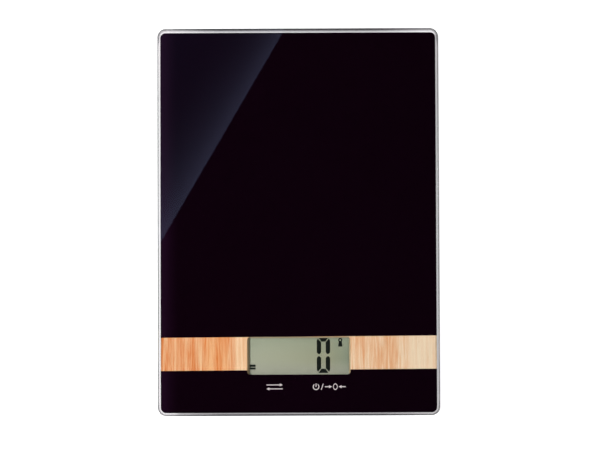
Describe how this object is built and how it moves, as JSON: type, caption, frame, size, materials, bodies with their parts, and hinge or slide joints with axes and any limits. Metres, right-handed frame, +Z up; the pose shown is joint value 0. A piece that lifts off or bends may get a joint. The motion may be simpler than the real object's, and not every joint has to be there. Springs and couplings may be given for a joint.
{
  "type": "kitchen scale",
  "caption": "Slim digital kitchen scale: glass platter with a black and wood-look back print, recessed display, touch keys and load-cell feet.",
  "frame": {"origin": "under the middle of the glass platter, on the surface that the feet stand on", "axes": "+X to the right, +Y away from the user with the display at the -Y end, +Z up"},
  "size_m": [0.16, 0.22, 0.015],
  "materials": {
    "clear_glass": "polished tempered glass, ground edges",
    "black_ink": "back print, seen through the glass",
    "wood_film": "pale bamboo-like grain, back print",
    "pale_ink": "back print",
    "foam_tape": "matt",
    "housing_plastic": "fine spark texture",
    "white_resin": "matt",
    "white_plastic": "matt",
    "screw_steel": "zinc plated",
    "board_green": "solder resist",
    "black_resin": "satin",
    "bright_metal": "bright",
    "tan_ceramic": "satin",
    "pink_rubber": "matt",
    "frame_plastic": "matt",
    "display_glass": "clear",
    "segment_ink": "dark",
    "reflector_film": "pearly grey-green",
    "gilt_wire": "plated",
    "black_rubber": "matt",
    "contact_metal": "nickel plated",
    "red_wire": "satin",
    "black_wire": "satin",
    "white_wire": "satin",
    "door_plastic": "fine spark texture",
    "red_rubber": "matt",
    "cell_steel": "stamped, nickel plated",
    "cup_plastic": "satin"
  },
  "bodies": {
    "scale_body": {"glass_platter": "clear_glass", "black_print": "black_ink", "wood_strip": "wood_film", "key_marks": "pale_ink", "bonding_tape": "foam_tape", "base_housing": "housing_plastic", "strain_gauges": "white_resin", "cell_retainers": "white_plastic", "retainer_screws": "screw_steel", "circuit_board": "board_green", "board_screws": "screw_steel", "chip_blob": "black_resin", "clock_crystal": "bright_metal", "capacitors": "tan_ceramic", "resistors": "black_resin", "solder_joints": "bright_metal", "zebra_strip": "pink_rubber", "lcd_frame": "frame_plastic", "front_polariser": "display_glass", "lcd_front_glass": "display_glass", "lcd_segments": "segment_ink", "lcd_rear_glass": "display_glass", "lcd_reflector": "reflector_film", "touch_spring_unit": "gilt_wire", "touch_spring_zero": "gilt_wire", "battery_can": "bright_metal", "battery_cap": "bright_metal", "battery_seal": "black_rubber", "positive_contact": "contact_metal", "negative_contact": "contact_metal", "wires_red": "red_wire", "wires_black": "black_wire", "wires_white": "white_wire", "load_cell_front_left": "cell_steel", "foot_cup_front_left": "cup_plastic", "foot_pad_front_left": "black_rubber", "load_cell_front_right": "cell_steel", "foot_cup_front_right": "cup_plastic", "foot_pad_front_right": "black_rubber", "load_cell_rear_left": "cell_steel", "foot_cup_rear_left": "cup_plastic", "foot_pad_rear_left": "black_rubber", "load_cell_rear_right": "cell_steel", "foot_cup_rear_right": "cup_plastic", "foot_pad_rear_right": "black_rubber"},
    "door": {"battery_door": "door_plastic", "door_seal": "red_rubber"}
  },
  "joints": [
    {"name": "door_twist", "type": "hinge", "parent": "scale_body", "child": "door", "pos_m": [0, -0.034, 0.003], "axis": [0, 0, -1], "range_deg": [0, 60]}
  ]
}
